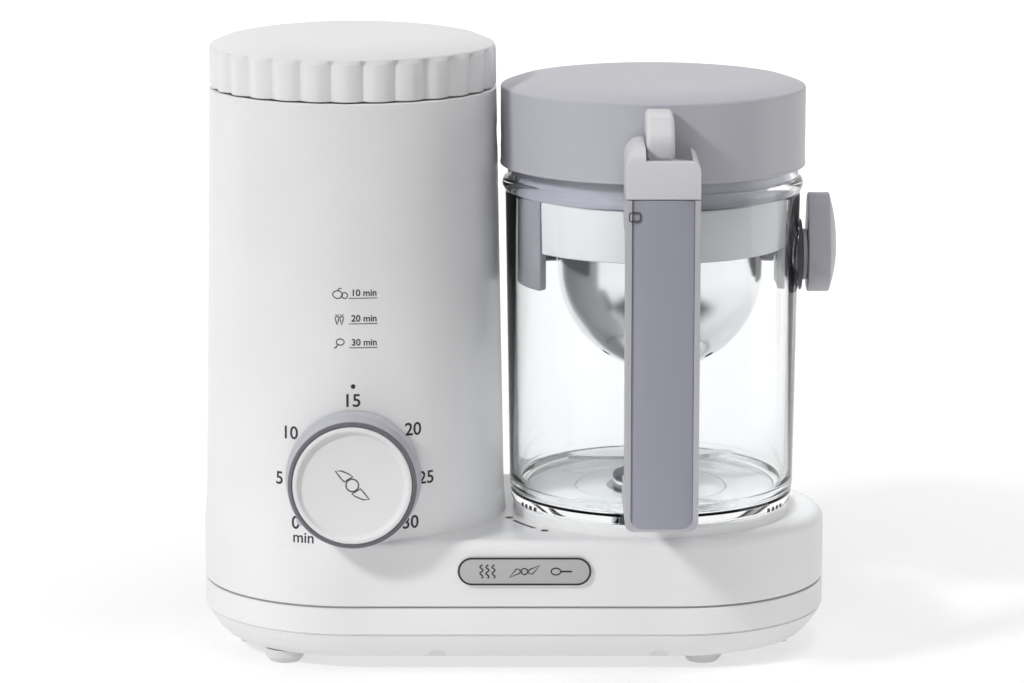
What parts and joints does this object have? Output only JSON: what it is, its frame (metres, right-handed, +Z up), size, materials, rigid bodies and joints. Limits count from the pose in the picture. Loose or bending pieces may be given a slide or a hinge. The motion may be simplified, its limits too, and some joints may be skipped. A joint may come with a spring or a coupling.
{
  "type": "baby food maker",
  "caption": "Steam-and-blend baby food maker: white tower with timer dial, clear lidded jug with flip-over steel bowl, blades and front handle.",
  "frame": {"origin": "centre of the bounding box in plan, on the surface that the feet stand on", "axes": "+Z up; -Y is the front, with the dial and the handle; +X is the side with the jug and its flip knob"},
  "size_m": [0.2802, 0.1816, 0.2744],
  "materials": {
    "white_shell": "smooth semi-gloss white moulding",
    "grey_plastic": "satin blue-grey moulding",
    "light_grey_plastic": "satin light grey moulding",
    "dark_grey_plastic": "satin dark grey moulding",
    "badge_grey": "satin grey with a darker printed outline",
    "clear_jug": "clear, polished",
    "polished_steel": "mirror-polished stainless steel",
    "brushed_steel": "ground stainless steel",
    "aluminium": "cast",
    "silicone": "translucent matte silicone",
    "foot_rubber": "matte off-white rubber",
    "black_plastic": "matte black",
    "circuit_board": "green solder mask"
  },
  "bodies": {
    "housing": {"base_tray": "white_shell", "upper_housing": "white_shell", "badge_plate": "badge_grey", "cord_gland": "black_plastic", "motor_can": "brushed_steel", "motor_plate": "brushed_steel", "control_board": "circuit_board", "timer_body": "black_plastic", "blend_switch": "black_plastic", "lid_sensor": "black_plastic", "water_tank": "clear_jug", "heating_plate": "aluminium", "thermostat": "black_plastic", "steam_pipe": "silicone", "steam_nozzle": "silicone", "foot_left_front": "foot_rubber", "tray_screw_left_front": "brushed_steel", "foot_left_rear": "foot_rubber", "tray_screw_left_rear": "brushed_steel", "foot_right_front": "foot_rubber", "tray_screw_right_front": "brushed_steel", "foot_right_rear": "foot_rubber", "tray_screw_right_rear": "brushed_steel"},
    "dial": {"dial_ring": "grey_plastic", "dial_shaft": "brushed_steel"},
    "blend_button": {"dial_cap": "white_shell", "blend_rod": "silicone"},
    "tank_plug": {"tank_stopper": "white_shell", "tank_seal": "silicone"},
    "tank_cap": {"tank_lid": "white_shell"},
    "lock_ring": {"jug_lock_ring": "white_shell"},
    "jug": {"jug_glass": "clear_jug", "blade_bearing": "dark_grey_plastic", "bearing_gasket": "silicone", "handle_frame": "grey_plastic", "handle_panel": "grey_plastic", "handle_cap": "light_grey_plastic", "handle_screw_upper": "brushed_steel", "handle_screw_lower": "brushed_steel", "carrier_ring": "grey_plastic", "collar_ring": "white_shell", "pivot_bushing": "dark_grey_plastic"},
    "interlock": {"interlock_rod": "silicone", "interlock_magnet": "dark_grey_plastic"},
    "lid_seal": {"lid_liner": "white_shell", "lid_gasket": "silicone"},
    "jug_lid": {"lid_dome": "grey_plastic", "lid_finger": "light_grey_plastic"},
    "bowl": {"steam_bowl": "polished_steel", "bowl_pivot_left": "dark_grey_plastic", "bowl_socket_right": "dark_grey_plastic"},
    "knob": {"flip_knob": "grey_plastic", "knob_shaft": "dark_grey_plastic", "knob_collar": "silicone"},
    "motor_rotor": {"drive_coupling": "black_plastic"},
    "blades": {"blade_shaft": "brushed_steel", "blade_driver": "black_plastic", "blade_hub": "dark_grey_plastic", "blade_lower": "brushed_steel", "blade_upper": "brushed_steel"}
  },
  "joints": [
    {"name": "dial_turn", "type": "hinge", "parent": "housing", "child": "dial", "pos_m": [-0.07127, -0.0546, 0.0883], "axis": [0, 1, 0], "range_deg": [0, 260]},
    {"name": "blend_press", "type": "slide", "parent": "dial", "child": "blend_button", "axis": [0, 1, 0], "range_m": [0, 0.003], "stiffness_N_per_m": 400},
    {"name": "tank_lid_lift", "type": "slide", "parent": "housing", "child": "tank_plug", "axis": [0, 0, 1], "range_m": [0, 0.06]},
    {"name": "tank_lid_turn", "type": "hinge", "parent": "tank_plug", "child": "tank_cap", "pos_m": [-0.07297, 0.0204, 0.255], "axis": [0, 0, 1], "range_deg": [0, 45]},
    {"name": "jug_turn", "type": "hinge", "parent": "housing", "child": "lock_ring", "pos_m": [0.05893, 0.0204, 0.062], "axis": [0, 0, 1], "range_deg": [-20, 0]},
    {"name": "jug_lift", "type": "slide", "parent": "lock_ring", "child": "jug", "axis": [0, 0, 1], "range_m": [0, 0.08]},
    {"name": "lid_lift", "type": "slide", "parent": "jug", "child": "lid_seal", "axis": [0, 0, 1], "range_m": [0, 0.05]},
    {"name": "lid_turn", "type": "hinge", "parent": "lid_seal", "child": "jug_lid", "pos_m": [0.05893, 0.0204, 0.235], "axis": [0, 0, 1], "range_deg": [0, 4]},
    {"name": "bowl_flip", "type": "hinge", "parent": "jug", "child": "bowl", "pos_m": [0.05893, 0.0204, 0.1744], "axis": [1, 0, 0], "range_deg": [0, 180]},
    {"name": "knob_pull", "type": "slide", "parent": "bowl", "child": "knob", "axis": [1, 0, 0], "range_m": [0, 0.025]},
    {"name": "interlock_press", "type": "slide", "parent": "jug", "child": "interlock", "axis": [0, 0, 1], "range_m": [-0.003, 0], "stiffness_N_per_m": 300, "springref_m": 0.002},
    {"name": "motor_spin", "type": "hinge", "parent": "housing", "child": "motor_rotor", "pos_m": [0.05893, 0.0204, 0.057], "axis": [0, 0, 1], "continuous": true},
    {"name": "blade_spin", "type": "hinge", "parent": "jug", "child": "blades", "pos_m": [0.05893, 0.0204, 0.075], "axis": [0, 0, 1], "continuous": true}
  ],
  "couplings": [
    {"joint": "blade_spin", "follows": "motor_spin", "ratio": 1}
  ]
}
